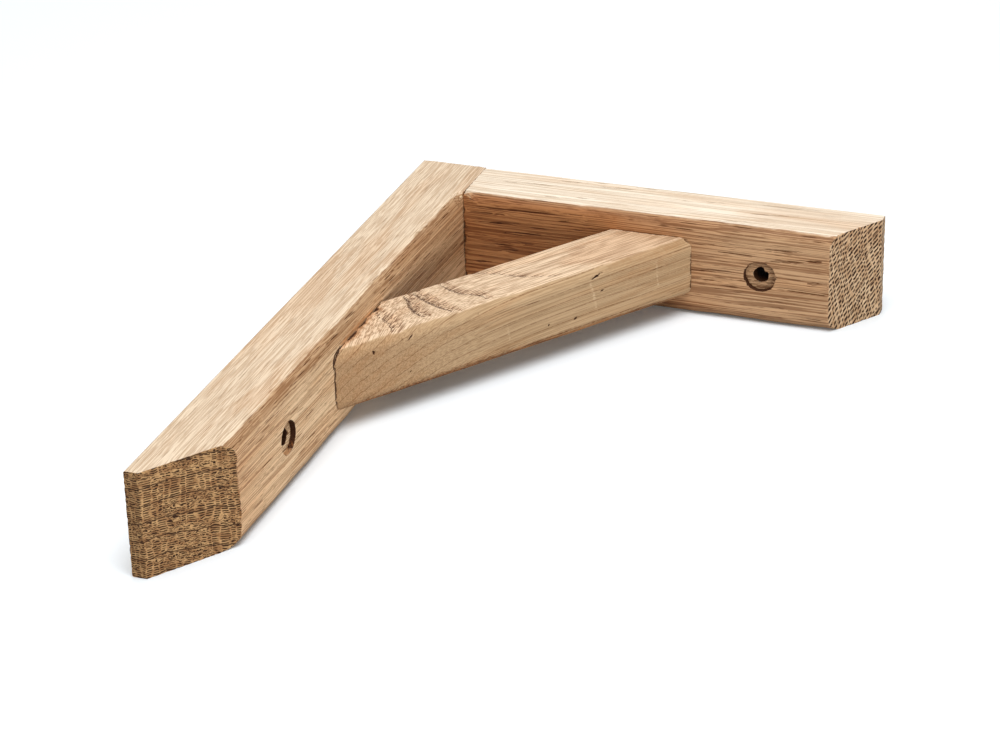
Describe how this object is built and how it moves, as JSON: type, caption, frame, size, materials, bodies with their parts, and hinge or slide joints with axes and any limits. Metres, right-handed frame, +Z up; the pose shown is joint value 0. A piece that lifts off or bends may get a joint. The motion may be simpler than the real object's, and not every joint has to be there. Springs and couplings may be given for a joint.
{
  "type": "shelf bracket",
  "caption": "Right-angled oak shelf bracket with unequal arms, slanted rounded ends, a mitred diagonal brace and counterbored screw holes.",
  "frame": {"origin": "bottom centre of the bounding box, with the bracket lying on its side", "axes": "+Z up, across the bracket's thickness; +Y along the long arm towards the outer corner; +X along the short arm away from the outer corner"},
  "size_m": [0.142, 0.205, 0.03],
  "materials": {
    "long_arm_oak": "planed and sanded oak, bare",
    "short_arm_oak": "planed and sanded oak, bare",
    "brace_oak": "planed and sanded oak, bare"
  },
  "bodies": {
    "root": {"long_arm": "long_arm_oak", "short_arm": "short_arm_oak", "brace": "brace_oak"}
  },
  "joints": []
}
